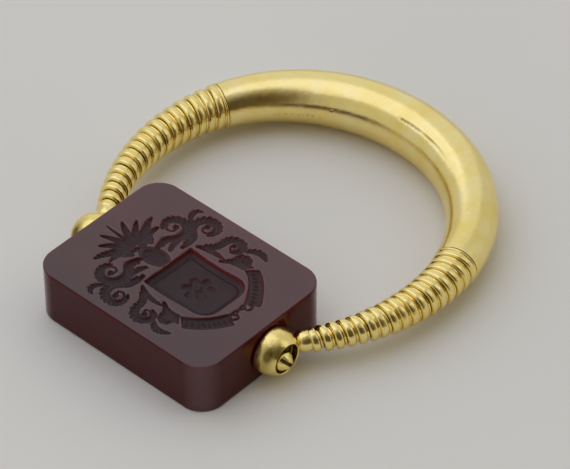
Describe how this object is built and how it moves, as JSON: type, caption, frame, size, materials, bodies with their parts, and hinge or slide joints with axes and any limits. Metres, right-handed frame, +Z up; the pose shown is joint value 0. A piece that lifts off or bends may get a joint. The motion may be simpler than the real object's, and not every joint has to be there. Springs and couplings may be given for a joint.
{
  "type": "swivel signet ring",
  "caption": "Finger ring whose engraved rectangular stone turns on a pin between the round collars of a tapering gold hoop with wire-bound shoulders.",
  "frame": {"origin": "under the middle of the ring's box, on the surface that the ring lies on", "axes": "+X along the pivot pin towards its slotted head, +Y from the stone to the back of the hoop, +Z up out of the seal face"},
  "size_m": [0.0278, 0.0322, 0.0042],
  "materials": {
    "stone": "polished",
    "gold": "satin",
    "gold_wire": "polished"
  },
  "bodies": {
    "hoop": {"hoop": "gold", "pivot_pin": "gold", "collar_right": "gold", "collar_left": "gold", "neck_bead_right": "gold_wire", "neck_bead_left": "gold_wire", "shoulder_ring_right": "gold_wire", "shoulder_ring_left": "gold_wire", "binding_wire_right": "gold_wire", "binding_wire_left": "gold_wire", "fine_wire_right": "gold_wire", "fine_wire_left": "gold_wire"},
    "bezel": {"stone": "stone", "stone_lining": "gold"}
  },
  "joints": [
    {"name": "bezel_swivel", "type": "hinge", "parent": "hoop", "child": "bezel", "pos_m": [0, -0.00985, 0.0021], "axis": [1, 0, 0], "continuous": true}
  ]
}
